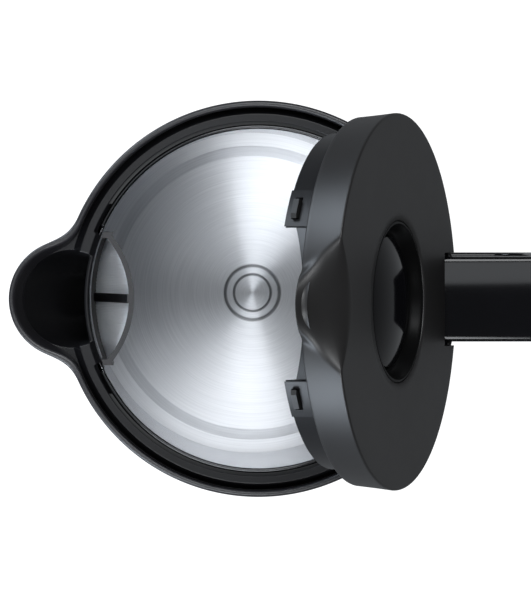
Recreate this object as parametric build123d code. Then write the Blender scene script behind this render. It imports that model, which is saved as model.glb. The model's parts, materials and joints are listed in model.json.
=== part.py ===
from build123d import *
import math
import os

# Electric jug kettle with its lid held open on the hinge at the handle.
# Millimetres. The origin is on the body's axis at the plane that the kettle stands on,
# +Z is up, the spout points along -X and the handle along +X.

# Body
RIM_Z = 200.0            # top of the outer lip
RIM_R = 75.0             # outer radius at the lip
FOOT_R = 76.0            # outer radius at the bottom edge
WAIST_R = 74.4           # outer radius half way up
WALL = 2.4               # wall of the outer shell
SHELL_Z = 3.0            # bottom edge of the outer shell
SHELF_Z = 188.0          # shelf in the shell that carries the collar
LEDGE_Z = 197.0          # flat ledge of the collar, below the lip
LEDGE_R_IN = 67.2
LEDGE_R_OUT = 70.1

# Steel pot
POT_R = 64.3             # inside radius
POT_T = 0.7
FLANGE_Z = 195.0         # top of the turned-out edge
FLANGE_R = 66.0
FLOOR_Z = 48.0           # flat outer ring of the floor
FLOOR_T = 1.0
STEP_R_OUT = 59.1        # sloped ring between the outer ring and the raised disc
STEP_R_IN = 54.9
STEP_H = 1.6

# Spout
SPOUT_X = -72.2          # centre of the round spout at the lip
SPOUT_R = 22.6
SPOUT_ROOT_X = -63.0     # centre of the spout's lower end
SPOUT_ROOT_R = 10.0
SPOUT_ROOT_Z = 142.0
LINER_T = 1.4
NOTCH_HALF = 27.0        # half width of the notch in the flange that holds the filter

# Filter
FILTER_WALL_R = POT_R - 0.5
FILTER_C_X = -85.5       # centre of the filter's top arc
FILTER_R = 37.4
FILTER_HALF = 25.2
FILTER_TOP = 194.0
FILTER_BOTTOM = 150.0

# Lid, drawn closed and then turned about the hinge. Its heights are from the hinge axis.
HINGE_X = 63.0
HINGE_Z = RIM_Z + 2.4
LID_OPEN = 69.5          # degrees
LID_R_TOP = 69.6
LID_R_BOTTOM = 68.0
LID_TOP = 10.2
LID_EDGE = -4.4          # lower edge of the cover
LID_BOTTOM = -14.5       # underside of the lid's inner body
LID_BASE_R = 62.0
LID_WALL = 2.0
FRONT_R = 50.0           # hollow front of the inner body, about the filter's centre
BEAK_HALF_TOP = 24.0     # the beak over the spout: half widths and reach, top and bottom
BEAK_HALF_BOTTOM = 12.3
BEAK_R_TOP = 58.0
BEAK_R_BOTTOM = 74.4
HINGE_GAP_HALF = 17.5    # half width of the gap in the lid around the handle's root
HINGE_GAP_X = 56.0
BUTTON_R = 24.0
BUTTON_TRAVEL = 3.5
RECESS_R = 30.0
LATCH_Y = 34.5           # the two latch bolts
LATCH_HALF = 3.5
LATCH_Z0 = -12.0
LATCH_Z1 = -9.9
LATCH_TRAVEL = 3.0
LID_SCREWS = [(18, 50), (-18, 50), (18, -50), (-18, -50)]

# Handle
HANDLE_HALF = 16.05
HANDLE_TOP = HINGE_Z + 6.0
HANDLE_X = 132.0         # outermost point
GRIP_T = 22.0
HANDLE_LOW = 30.0
HANDLE_WALL = 2.6
HANDLE_ARM = 30.0        # depth of the upper arm
HANDLE_FOOT = 26.0       # depth of the lower arm
HANDLE_SCREW_Z = (HANDLE_TOP - 24.0, HANDLE_LOW + 12.0)

# Rocker switch at the foot
SWITCH_X = 69.0
SWITCH_Z = 24.0

# Hinge
PIN_R = 1.5
KNUCKLE_R = 5.2
KNUCKLE_HALF = 15.6

# Heater under the floor, and its control
SPREADER_Z = FLOOR_Z + STEP_H - FLOOR_T     # top of the aluminium disc
SPREADER_T = 3.0
ELEMENT_R = 42.0
ELEMENT_WIRE = 3.3
ELEMENT_Z = SPREADER_Z - SPREADER_T - ELEMENT_WIRE
CONTROL_Z0 = 31.0
CONTROL_Z1 = 40.0
STUD_R = 24.0
SCREW_ANGLES = (60, 180, 300)

# Cordless socket and the bottom cover's screws
SOCKET_BORE = 17.0
SOCKET_Z0 = 3.0
SOCKET_Z1 = 27.0
SOCKET_STEP_Z = 12.0     # end of the clear bore; the contacts lie above it
COVER_SCREW_R = 68.0

# Steam tube
STEAM_R = 68.6
STEAM_ANGLE = -14
STEAM_TOP = 180.0

# Turned solids have their seam on +Y, clear of the holes on the X axis.
SEAM = Rot(0, 0, 90)


def turned(points):
    """A solid of revolution about Z from a closed (radius, height) outline."""
    outline = Polyline(*[(r, 0, z) for r, z in points], close=True)
    return SEAM * revolve(make_face(outline), Axis.Z)


def ring(r_in, r_out, z0, z1):
    return turned([(r_in, z0), (r_out, z0), (r_out, z1), (r_in, z1)])


def polar(radius, degrees):
    a = math.radians(degrees)
    return radius * math.cos(a), radius * math.sin(a)


def block(x0, x1, y0, y1, z0, z1):
    return Pos((x0 + x1) / 2, (y0 + y1) / 2, (z0 + z1) / 2) * Box(x1 - x0, y1 - y0, z1 - z0)


def post(x, y, radius, z0, z1):
    return Pos(x, y, (z0 + z1) / 2) * Cylinder(radius, z1 - z0)


def rod_x(radius, x0, x1, y, z):
    return Pos((x0 + x1) / 2, y, z) * Rot(0, 90, 0) * Cylinder(radius, x1 - x0)


def rod_y(radius, y0, y1, x, z):
    return Pos(x, (y0 + y1) / 2, z) * Rot(90, 0, 0) * Cylinder(radius, y1 - y0)


def coil(radius, wire, pitch, turns, place):
    """A helical spring along the local Z of place."""
    path = Helix(pitch=pitch, height=pitch * turns, radius=radius)
    section = Plane(origin=path @ 0, z_dir=path % 0) * Circle(wire)
    return place * sweep(section, path=path, is_frenet=True)


def group(solids):
    return Compound(children=[s for shape in solids for s in shape.solids()])


# ---------------------------------------------------------------- body

def body_outline(inset, z_top):
    """The body's outer form, moved inwards by inset, as a solid up to z_top."""
    side = ThreePointArc(
        (FOOT_R - inset, 0, SHELL_Z), (WAIST_R - inset, 0, 105), (RIM_R - inset, 0, RIM_Z)
    )
    edges = [
        side,
        Line((RIM_R - inset, 0, RIM_Z), (0, 0, RIM_Z)),
        Line((0, 0, RIM_Z), (0, 0, SHELL_Z)),
        Line((0, 0, SHELL_Z), (FOOT_R - inset, 0, SHELL_Z)),
    ]
    solid = SEAM * revolve(make_face(edges), Axis.Z)
    if z_top > RIM_Z:
        solid += ring(0, RIM_R - inset, RIM_Z, z_top)
    return solid


def spout_cone(inset, z_top, z_low):
    """The spout's skewed cone, moved inwards by inset and cut off between two heights."""
    def section(z):
        t = (z - SPOUT_ROOT_Z) / (RIM_Z - SPOUT_ROOT_Z)
        x = SPOUT_ROOT_X + t * (SPOUT_X - SPOUT_ROOT_X)
        r = SPOUT_ROOT_R + t * (SPOUT_R - SPOUT_ROOT_R) - inset
        return Pos(x, 0, z) * Circle(r)
    return loft([section(z_low), section(z_top)], ruled=True)


def latch_pockets():
    """Clearance in the pot and the collar for the two latch bolts of the closed lid."""
    z0 = HINGE_Z + LATCH_Z0 - 0.5
    z1 = HINGE_Z + LATCH_Z1 + 0.5
    out = LATCH_Y + LATCH_HALF + 0.8
    near = LATCH_Y - LATCH_HALF - 0.8
    pockets = []
    for s in (1, -1):
        y0, y1 = sorted((s * near, s * out))
        pockets.append(block(-60, -50, y0, y1, z0, z1))
    return pockets


def seat_x(z):
    """Flat seat of a handle screw's head, sunk a little into the shell's wall at height z."""
    inside = body_outline(WALL, RIM_Z) & rod_x(0.2, 60, 80, 0, z)
    return inside.bounding_box().max.X + 0.7


def outer_shell():
    shell = body_outline(0, RIM_Z) + spout_cone(0, RIM_Z, SPOUT_ROOT_Z)
    shell -= body_outline(WALL, RIM_Z + 1)
    shell -= Pos(0, 0, SHELL_Z - 1) * extrude(Circle(FOOT_R - WALL), 3)
    shell -= spout_cone(2.3, RIM_Z + 1, SPOUT_ROOT_Z + 2)
    shelf = turned([
        (RIM_R - WALL - 2.2, SHELF_Z), (RIM_R - WALL + 0.4, SHELF_Z),
        (RIM_R - WALL + 0.4, SHELF_Z - 6), (RIM_R - WALL - 2.2, SHELF_Z - 3),
    ])
    shell += shelf - spout_cone(2.3, RIM_Z + 1, SPOUT_ROOT_Z + 2)
    for angle in SCREW_ANGLES:
        boss = post(COVER_SCREW_R, 0, 4.2, 6.2, 34)
        boss += block(COVER_SCREW_R + 0.5, FOOT_R - 1, -2, 2, 6.2, 34)
        boss -= post(COVER_SCREW_R, 0, 1.5, 6, 26)
        shell += Rot(0, 0, angle) * boss
    shell -= block(70, 80, -10.5, 10.5, SWITCH_Z - 10, SWITCH_Z + 4.5)
    for z in HANDLE_SCREW_Z:
        shell -= rod_x(1.7, 66, 80, 0, z)
        shell -= rod_x(3.8, 60, seat_x(z), 0, z)
    return shell


def top_collar():
    """Ring that fills the space between the pot and the shell, with the spout's liner."""
    collar = turned([
        (POT_R + POT_T + 0.2, SHELF_Z), (RIM_R - WALL - 0.2, SHELF_Z),
        (RIM_R - WALL - 0.2, LEDGE_Z - 4.6), (LEDGE_R_OUT, LEDGE_Z),
        (LEDGE_R_IN, LEDGE_Z), (LEDGE_R_IN, FLANGE_Z - 2.0),
        (FLANGE_R + 0.1, FLANGE_Z - 2.0), (FLANGE_R + 0.1, FLANGE_Z - POT_T),
        (POT_R + POT_T + 0.2, FLANGE_Z - POT_T),
    ])
    mouth = Polyline((-50, 36.5), (-75.2, 11.3), (-75.2, -11.3), (-50, -36.5), close=True)
    collar -= Pos(0, 0, FLANGE_Z - 4.5) * extrude(make_face(mouth), 10)
    trough = spout_cone(2.5 + LINER_T, RIM_Z + 1, SPOUT_ROOT_Z + 7)
    collar -= trough
    liner = spout_cone(2.5, LEDGE_Z, SPOUT_ROOT_Z + 4) - trough
    liner -= ring(0, POT_R + POT_T + 0.2, 0, RIM_Z + 5)
    collar += liner
    for pocket in latch_pockets():
        collar -= pocket
    return collar


def pot_gasket():
    gasket = ring(FLANGE_R + 0.1, LEDGE_R_IN, FLANGE_Z - 2.0, FLANGE_Z + 0.2)
    return gasket - block(-80, -50, -36, 36, 180, 210)


def inner_pot():
    pot = turned([
        (POT_R, FLOOR_Z - 6), (POT_R + POT_T, FLOOR_Z - 6),
        (POT_R + POT_T, FLANGE_Z - POT_T), (FLANGE_R, FLANGE_Z - POT_T),
        (FLANGE_R, FLANGE_Z), (POT_R, FLANGE_Z),
    ])
    pot -= spout_cone(2.5 + LINER_T, RIM_Z + 1, SPOUT_ROOT_Z + 7)
    pot -= block(-80, -40, -NOTCH_HALF, NOTCH_HALF, FLANGE_Z - 5.5, FLANGE_Z + 1)
    for pocket in latch_pockets():
        pot -= pocket
    pot -= Rot(0, 0, STEAM_ANGLE) * rod_x(2.6, 60, 70, 0, STEAM_TOP - 3.4)
    return pot


def floor_plate():
    """Pressed steel floor: flat outer ring, sloped step, raised disc and a small boss."""
    top = [
        (POT_R, FLOOR_Z), (STEP_R_OUT, FLOOR_Z), (STEP_R_IN, FLOOR_Z + STEP_H),
        (11.5, FLOOR_Z + STEP_H), (10.8, FLOOR_Z + STEP_H - 0.4),
        (10.0, FLOOR_Z + STEP_H), (7.9, FLOOR_Z + STEP_H),
        (7.4, FLOOR_Z + STEP_H - 0.4), (6.8, FLOOR_Z + STEP_H), (0, FLOOR_Z + STEP_H),
    ]
    under = [
        (0, FLOOR_Z + STEP_H - FLOOR_T), (STEP_R_IN, FLOOR_Z + STEP_H - FLOOR_T),
        (STEP_R_OUT, FLOOR_Z - FLOOR_T), (POT_R - 1.0, FLOOR_Z - FLOOR_T),
        (POT_R - 1.0, FLOOR_Z - 6), (POT_R, FLOOR_Z - 6),
    ]
    return turned(top + under)


# ---------------------------------------------------------------- heater and base

def heat_spreader():
    return ring(0, 50, SPREADER_Z - SPREADER_T, SPREADER_Z)


def heating_element():
    """Tubular element bent to an open ring, with its gap towards the spout."""
    section = Pos(ELEMENT_R, 0, ELEMENT_Z) * Rot(90, 0, 0) * Circle(ELEMENT_WIRE)
    bent = revolve(section, Axis.Z, revolution_arc=300)
    return Rot(0, 0, -150) * bent


def element_terminals():
    pins = []
    for angle in (-150, 150):
        a = math.radians(angle)
        x = ELEMENT_R * math.cos(a)
        y = ELEMENT_R * math.sin(a)
        pins.append(post(x, y, 1.4, 26.0, ELEMENT_Z - ELEMENT_WIRE))
    return group(pins)


def thermal_control():
    body = block(-31, 31, -24, 24, CONTROL_Z0, CONTROL_Z1)
    body = fillet(body.edges().filter_by(Axis.Z), 6)
    for x, y in [polar(STUD_R, a) for a in SCREW_ANGLES]:
        body -= post(x, y, 2.2, CONTROL_Z0 - 1, CONTROL_Z1 + 1)
    for x in (-12, 12):
        body += post(x, 0, 8.5, CONTROL_Z1, SPREADER_Z - SPREADER_T)
    return body


def control_studs():
    z_top = SPREADER_Z - SPREADER_T
    return group([post(x, y, 2.0, 27.5, z_top) for x, y in [polar(STUD_R, a) for a in SCREW_ANGLES]])


def control_nuts():
    nuts = []
    for x, y in [polar(STUD_R, a) for a in SCREW_ANGLES]:
        nut = extrude(RegularPolygon(3.8, 6) - Circle(2.0), 2.8)
        nuts.append(Pos(x, y, CONTROL_Z0 - 2.8) * nut)
    return group(nuts)


def power_socket():
    """Round cordless socket, open downwards, with a centre spigot for the line pin."""
    return turned([
        (SOCKET_BORE, SOCKET_Z0), (20.0, SOCKET_Z0), (20.0, 6.2), (24.0, 6.2),
        (24.0, 9.0), (20.0, 9.0), (20.0, SOCKET_Z1), (2.2, SOCKET_Z1),
        (2.2, SOCKET_STEP_Z + 1), (5.5, SOCKET_STEP_Z + 1), (5.5, 21.0),
        (SOCKET_BORE - 0.8, 21.0), (SOCKET_BORE - 0.8, SOCKET_STEP_Z),
        (SOCKET_BORE, SOCKET_STEP_Z),
    ])


def contact_rings():
    outer = ring(SOCKET_BORE - 3.2, SOCKET_BORE - 2.0, SOCKET_STEP_Z + 1, 21.0)
    inner = ring(8.6, 9.8, SOCKET_STEP_Z + 1, 21.0)
    pin = ring(0, 2.2, SOCKET_STEP_Z + 2, SOCKET_Z1 + 1.5)
    return group([outer, inner, pin])


def bottom_cover():
    """Moulded cover with the ring that the kettle stands on."""
    cover = turned([
        (20.2, 3.0), (60.0, 3.0), (60.0, 0.0), (64.0, 0.0), (64.0, 3.0),
        (72.9, 3.0), (72.9, 6.0), (20.2, 6.0),
    ])
    for angle in SCREW_ANGLES:
        x, y = polar(COVER_SCREW_R, angle)
        cover -= post(x, y, 1.8, 2, 7)
        cover -= post(x, y, 3.4, 2, 4.4)
    for x, y in [(12, 33), (-12, 33), (12, -33), (-12, -33)]:
        cover -= block(x - 6, x + 6, y - 1.2, y + 1.2, 2, 7)
    return cover


def bottom_screws():
    screws = []
    for angle in SCREW_ANGLES:
        x, y = polar(COVER_SCREW_R, angle)
        screw = post(x, y, 1.5, 4.4, 22) + post(x, y, 3.1, 3.1, 4.4)
        screw -= block(x - 2, x + 2, y - 0.4, y + 0.4, 3.0, 3.7)
        screws.append(screw)
    return group(screws)


def steam_tube():
    """Tube that leads steam down to the switch, in the space between pot and shell."""
    tube = post(STEAM_R, 0, 2.9, 44, STEAM_TOP) - post(STEAM_R, 0, 1.9, 43, STEAM_TOP - 1)
    tube += rod_x(2.5, POT_R - 1.6, STEAM_R, 0, STEAM_TOP - 3.4)
    tube -= rod_x(1.5, POT_R - 3, STEAM_R, 0, STEAM_TOP - 3.4)
    return Rot(0, 0, STEAM_ANGLE) * tube


def steam_switch():
    body = block(46, 61, -11, 11, 12, 38)
    body = fillet(body.edges().filter_by(Axis.Z), 2)
    body += rod_x(7.5, 61, 63, 0, 29)
    return body


def switch_bracket():
    bracket = block(62.5, 70.5, -13.4, 13.4, 6.0, 8.0)
    for s in (1, -1):
        y0, y1 = sorted((s * 10.6, s * 13.0))
        bracket += block(64.5, 71.8, y0, y1, 6.0, SWITCH_Z + 3.5)
    bracket -= rod_y(PIN_R, -20, 20, SWITCH_X, SWITCH_Z)
    return bracket


def switch_pivot():
    return rod_y(PIN_R, -13.4, 13.4, SWITCH_X, SWITCH_Z)


def switch_lever():
    """Rocker that sticks out under the handle, drawn in its off position."""
    paddle = block(SWITCH_X, 99, -9, 9, SWITCH_Z - 2.2, SWITCH_Z + 2.2)
    paddle = fillet(paddle.edges().filter_by(Axis.Z).sort_by(Axis.X)[-2:], 7)
    paddle = fillet(paddle.edges().group_by(Axis.Z)[-1].sort_by(Axis.X)[-1:], 1)
    lever = paddle + rod_y(4.0, -10.2, 10.2, SWITCH_X, SWITCH_Z)
    return lever - rod_y(PIN_R + 0.05, -20, 20, SWITCH_X, SWITCH_Z)


# ---------------------------------------------------------------- handle and hinge

def handle_profile(inset):
    """The handle's side view: a C from the rim to the foot, as a face on Y = 0."""
    x_in = HANDLE_X - GRIP_T
    outer = [
        (HINGE_X + 1.5, HANDLE_TOP), (HANDLE_X, HANDLE_TOP), (HANDLE_X - 3, HANDLE_LOW),
        (70, HANDLE_LOW), (70, HANDLE_LOW + HANDLE_FOOT), (x_in - 3, HANDLE_LOW + HANDLE_FOOT),
        (x_in, HANDLE_TOP - HANDLE_ARM), (70, HANDLE_TOP - HANDLE_ARM), (70, RIM_Z + 0.3),
        (HINGE_X + 1.5, RIM_Z + 0.3),
    ]
    radii = [1.5, 26, 18, 0.8, 0.8, 12, 16, 0.8, 0.8, 0.8]
    line = FilletPolyline(*[(x, 0, z) for x, z in outer], radius=radii, close=True)
    face = make_face(line)
    if inset:
        face = offset(face, amount=-inset, kind=Kind.INTERSECTION)
    return face


def handle_solid(face, half):
    return extrude(face, half, both=True, dir=(0, 1, 0))


def finger_side(depth, half):
    """The part of the handle within depth of the finger opening."""
    x_in = HANDLE_X - GRIP_T
    z0 = HANDLE_LOW + HANDLE_FOOT - depth
    z1 = HANDLE_TOP - HANDLE_ARM + depth
    corners = [(60, z0), (x_in - 3 + depth, z0), (x_in + depth, z1), (60, z1)]
    line = FilletPolyline(
        *[(x, 0, z) for x, z in corners], radius=[0.5, 12 + depth, 16 + depth, 0.5], close=True
    )
    return handle_solid(make_face(line), half)


def handle_shell():
    outer = handle_solid(handle_profile(0), HANDLE_HALF)
    rim = outer.edges().filter_by(lambda e: abs(abs(e.center().Y) - HANDLE_HALF) < 0.01)
    outer = fillet(rim, 2.2)
    cavity = handle_solid(handle_profile(HANDLE_WALL), HANDLE_HALF - HANDLE_WALL)
    slot = finger_side(HANDLE_WALL + 0.1, HANDLE_HALF - HANDLE_WALL)
    shell = outer - cavity - slot
    for z in HANDLE_SCREW_Z:
        shell += rod_x(3.3, 70, 92, 0, z) & outer
    shell -= body_outline(-0.1, RIM_Z)
    for z in HANDLE_SCREW_Z:
        shell -= rod_x(1.5, 66, 88, 0, z)
    shell -= hinge_envelope()
    return largest(shell)


def largest(shape):
    return max(shape.solids(), key=lambda s: s.volume)


def handle_liner():
    """Insert that closes the handle on the finger side."""
    liner = finger_side(HANDLE_WALL, HANDLE_HALF - HANDLE_WALL - 0.1) & handle_solid(
        handle_profile(0), HANDLE_HALF - HANDLE_WALL - 0.1
    )
    liner -= body_outline(-0.1, RIM_Z)
    return largest(liner)


def handle_screws():
    screws = []
    for z in HANDLE_SCREW_Z:
        x_seat = seat_x(z)
        screw = rod_x(1.5, x_seat, 87, 0, z) + rod_x(3.2, x_seat - 2.0, x_seat, 0, z)
        screws.append(screw)
    return group(screws)


def hinge_envelope():
    """Room inside the handle's root for the hinge block."""
    return block(HINGE_X - 6, 80.2, -KNUCKLE_HALF - 0.2, KNUCKLE_HALF + 0.2, RIM_Z - 4, HINGE_Z + 3.6)


def hinge_block():
    body = block(HINGE_X, 80, -KNUCKLE_HALF, KNUCKLE_HALF, RIM_Z, HINGE_Z + 3.4)
    body += block(HINGE_X, 69.8, -KNUCKLE_HALF, KNUCKLE_HALF, LEDGE_Z + 0.2, RIM_Z + 0.5)
    body += rod_y(KNUCKLE_R - 1.8, -KNUCKLE_HALF, KNUCKLE_HALF, HINGE_X, HINGE_Z)
    body -= block(HINGE_X - 8, HINGE_X + 4.6, -8, 8, LEDGE_Z - 4, HINGE_Z + 8)
    body -= rod_y(PIN_R, -30, 30, HINGE_X, HINGE_Z)
    return body


def hinge_pin():
    return rod_y(PIN_R, -20.6, 20.6, HINGE_X, HINGE_Z)


def hinge_spring():
    place = Pos(HINGE_X, 7.2, HINGE_Z) * Rot(90, 0, 0)
    return coil(2.7, 0.6, 1.6, 9, place)


# ---------------------------------------------------------------- filter

def arc_band(x_c, r0, r1, half, z0, z1):
    """Part of a flat ring round (x_c, 0) within half of the X axis, on its +X side."""
    band = Pos(x_c, 0, 0) * ring(r0, r1, z0, z1)
    return band & block(x_c, x_c + r1 + 1, -half, half, z0, z1)


def wall_band(r0, r1, half, z0, z1):
    """The same on the spout side of the pot's wall."""
    return ring(r0, r1, z0, z1) & block(-r1 - 1, 0, -half, half, z0, z1)


def mesh_edge(x_c, radius, side, half, thick, z):
    """Thin arc-shaped strip at one height, the mesh's section there."""
    def arc(r):
        x = math.sqrt(r * r - half * half) * side + x_c
        return (x, half, z), (x_c + side * r, 0, z), (x, -half, z)
    a = arc(radius)
    b = arc(radius + thick)
    return make_face([
        ThreePointArc(*a), Line(a[2], b[2]), ThreePointArc(b[2], b[1], b[0]), Line(b[0], a[0]),
    ])


def filter_mesh():
    top = mesh_edge(FILTER_C_X, FILTER_R - 0.3, 1, FILTER_HALF - 1.5, 0.6, FILTER_TOP - 4)
    low = mesh_edge(0, FILTER_WALL_R - 1.6, -1, FILTER_HALF - 1.5, -0.6, FILTER_BOTTOM + 3)
    return loft([top, low], ruled=True)


def filter_frame():
    frame = arc_band(FILTER_C_X, FILTER_R - 1, FILTER_R + 1, FILTER_HALF, FILTER_TOP - 4, FILTER_TOP)
    frame += wall_band(FILTER_WALL_R - 2.6, FILTER_WALL_R, FILTER_HALF, FILTER_BOTTOM, FILTER_BOTTOM + 3)
    x_top = FILTER_C_X + FILTER_R
    x_low = -FILTER_WALL_R
    rib = make_face(Polyline(
        (x_top + 1, 0, FILTER_TOP), (x_top - 1.6, 0, FILTER_TOP),
        (x_low, 0, FILTER_BOTTOM), (x_low + 3.2, 0, FILTER_BOTTOM), close=True,
    ))
    frame += extrude(rib, 1.7, both=True, dir=(0, 1, 0))
    for s in (1, -1):
        y0, y1 = sorted((s * (FILTER_HALF - 2.2), s * FILTER_HALF))
        side = ring(FILTER_WALL_R - 3.4, FILTER_WALL_R, FILTER_BOTTOM, FILTER_TOP)
        frame += side & block(-70, -40, y0, y1, FILTER_BOTTOM, FILTER_TOP)
    return frame - filter_mesh()


# ---------------------------------------------------------------- lid, drawn closed

OPEN = Pos(HINGE_X, 0, HINGE_Z) * Rot(0, LID_OPEN, 0) * Pos(-HINGE_X, 0, 0)


def cover_section(radius, half, reach, z):
    """Outline of the cover at one height: a circle whose front is an arc through reach."""
    x = -math.sqrt(radius * radius - half * half)
    back = ThreePointArc((x, half, z), (radius, 0, z), (x, -half, z))
    front = ThreePointArc((x, -half, z), (-reach, 0, z), (x, half, z))
    return make_face([back, front])


def hinge_gap(grow, z0, z1):
    half = HINGE_GAP_HALF + grow
    return block(HINGE_GAP_X - grow, 80, -half, half, z0, z1)


def lid_cover():
    outer = loft([
        cover_section(LID_R_BOTTOM, BEAK_HALF_BOTTOM, BEAK_R_BOTTOM, LID_EDGE),
        cover_section(LID_R_TOP, BEAK_HALF_TOP, BEAK_R_TOP, LID_TOP),
    ], ruled=True)
    w = LID_WALL
    inner = loft([
        cover_section(LID_R_BOTTOM - w, BEAK_HALF_BOTTOM - 0.8, BEAK_R_BOTTOM - w - 0.6, LID_EDGE - 0.01),
        cover_section(LID_R_TOP - w, BEAK_HALF_TOP - 1.2, BEAK_R_TOP - w - 0.6, LID_TOP - w),
    ], ruled=True)
    cover = outer - (inner - hinge_gap(w, LID_EDGE - 1, LID_TOP))
    cover -= hinge_gap(0, LID_EDGE - 1, LID_TOP + 1)
    cover -= post(0, 0, RECESS_R, LID_TOP - w - 1, LID_TOP + 1)
    for x, y in LID_SCREWS:
        cover += post(x, y, 3.4, LID_BOTTOM + 2.1, LID_TOP - w)
        cover -= post(x, y, 1.5, LID_BOTTOM, 2)
    cover -= rod_y(PIN_R + 0.05, -22, 22, HINGE_X, 0)
    return cover


def base_plan(inset):
    """Plan of the lid's inner body: round, hollowed at the front for the filter."""
    plan = Circle(LID_BASE_R - inset)
    for s in (1, -1):
        plan += Pos(-44, s * LATCH_Y) * Rectangle(32 - 2 * inset, 13 - 2 * inset)
    plan &= Circle(POT_R - 0.8 - inset)
    front = Pos(-61, 0) * Rectangle(28, 55 + 2 * inset)
    front += Pos(-50, 0) * Rectangle(50, 55 + 2 * inset) & Pos(FILTER_C_X, 0) * Circle(FRONT_R + inset)
    plan -= front
    plan -= Pos(HINGE_GAP_X - inset + 20, 0) * Rectangle(40, 2 * (HINGE_GAP_HALF + inset))
    return plan


def lid_base():
    floor_t = 2.0
    cup = Pos(0, 0, LID_BOTTOM) * extrude(base_plan(0), LID_EDGE - LID_BOTTOM)
    flange = Circle(LID_R_BOTTOM - LID_WALL - 0.6)
    flange -= Pos(HINGE_GAP_X - 2.2 + 20, 0) * Rectangle(40, 2 * (HINGE_GAP_HALF + 2.2))
    cup += Pos(0, 0, LID_EDGE) * extrude(flange, 2.0)
    hollow = Pos(0, 0, LID_BOTTOM + floor_t) * extrude(base_plan(1.8), 20)
    cup -= hollow
    for s in (1, -1):
        y0, y1 = sorted((s * (LATCH_Y - LATCH_HALF - 0.4), s * (LATCH_Y + LATCH_HALF + 0.4)))
        cup -= block(-70, -45, y0, y1, LATCH_Z0 - 0.3, LATCH_Z1 + 0.5)
    for x, y in LID_SCREWS:
        cup -= post(x, y, 1.8, LID_BOTTOM - 1, LID_BOTTOM + 3)
        cup -= post(x, y, 3.3, LID_BOTTOM - 1, LID_BOTTOM + 1.4)
    cup += post(0, 0, 2.6, LID_BOTTOM + floor_t, LID_BOTTOM + floor_t + 5)
    cup += block(12, 14, -6, 6, LID_BOTTOM + floor_t, LATCH_Z1 + 3)
    return cup


def lid_screws():
    screws = []
    for x, y in LID_SCREWS:
        screw = post(x, y, 1.5, LID_BOTTOM + 1.3, 1) + post(x, y, 3.0, LID_BOTTOM + 0.2, LID_BOTTOM + 1.3)
        screws.append(screw)
    return group(screws)


def button_bezel():
    """Round well in the cover that guides the button."""
    return turned([
        (24.3, -0.5), (24.3, 5.0), (25.8, 5.0), (27.6, 6.2), (29.0, 8.4), (29.4, LID_TOP - 0.2),
        (RECESS_R - 0.05, LID_TOP - 0.2), (RECESS_R - 0.05, LID_TOP - 2.05),
        (RECESS_R + 1.6, LID_TOP - 2.05), (RECESS_R + 1.6, LID_TOP - 3.4),
        (28.4, LID_TOP - 3.4), (26.0, 3.4), (26.0, -0.5),
    ])


def lid_button():
    """Domed release button with a wedge that draws the latch slider back."""
    dome = make_face([
        ThreePointArc((0, 0, 10.4), (12.5, 0, 9.35), (BUTTON_R, 0, 6.2)),
        Line((BUTTON_R, 0, 6.2), (BUTTON_R, 0, -0.5)),
        Line((BUTTON_R, 0, -0.5), (BUTTON_R - 2, 0, -0.5)),
        Line((BUTTON_R - 2, 0, -0.5), (BUTTON_R - 2, 0, 5.2)),
        ThreePointArc((BUTTON_R - 2, 0, 5.2), (12, 0, 7.4), (0, 0, 8.4)),
        Line((0, 0, 8.4), (0, 0, 10.4)),
    ])
    button = revolve(dome, Axis.Z)
    slope = LATCH_TRAVEL / BUTTON_TRAVEL
    tip = LATCH_Z1 + 1.1
    x_tip = -12.3 + slope * (tip - LATCH_Z1)
    x_top = -12.3 + LATCH_TRAVEL
    wedge = make_face(Polyline(
        (-16, 0, 7.4), (-16, 0, tip), (x_tip, 0, tip),
        (x_top, 0, LATCH_Z1 + BUTTON_TRAVEL), (x_top, 0, 7.4), close=True,
    ))
    return button + extrude(wedge, 4, both=True, dir=(0, 1, 0))


def latch_slider():
    """One flat slider with both bolts. A window in its bridge takes the button's wedge."""
    bridge = block(-28, -8, -LATCH_Y - LATCH_HALF, LATCH_Y + LATCH_HALF, LATCH_Z0, LATCH_Z1)
    bridge -= block(-20, -12, -5, 5, LATCH_Z0 - 1, LATCH_Z1 + 1)
    slider = bridge
    for s in (1, -1):
        y0, y1 = sorted((s * (LATCH_Y - LATCH_HALF), s * (LATCH_Y + LATCH_HALF)))
        slider += block(-57, -20, y0, y1, LATCH_Z0, LATCH_Z1)
    slider &= ring(0, POT_R + 1.5, LATCH_Z0, LATCH_Z1)
    return slider


def latch_spring():
    place = Pos(-7.4, 8.5, LATCH_Z1 - 0.2) * Rot(0, 90, 0)
    return coil(1.7, 0.35, 2.7, 7, place)


def button_spring():
    place = Pos(0, 0, LID_BOTTOM + 2.7)
    return coil(3.6, 0.5, 2.8, 7, place)


BODY_NODES = [
    outer_shell, top_collar, pot_gasket, inner_pot, floor_plate, heat_spreader, heating_element,
    element_terminals, thermal_control, control_studs, control_nuts, power_socket,
    contact_rings, bottom_cover, bottom_screws, steam_tube, steam_switch, switch_bracket,
    switch_pivot, switch_lever, handle_shell, handle_liner, handle_screws, hinge_block,
    hinge_pin, hinge_spring, filter_frame, filter_mesh,
]
LID_NODES = [
    lid_cover, lid_base, lid_screws, button_bezel, lid_button, latch_slider, latch_spring,
    button_spring,
]


os.makedirs("parts", exist_ok=True)
for make in BODY_NODES:
    export_step(make(), f"parts/{make.__name__}.step")
for make in LID_NODES:
    export_step(OPEN * make(), f"parts/{make.__name__}.step")
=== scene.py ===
import json
import math

import bpy
import numpy as np
from mathutils import Matrix, Vector


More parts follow.
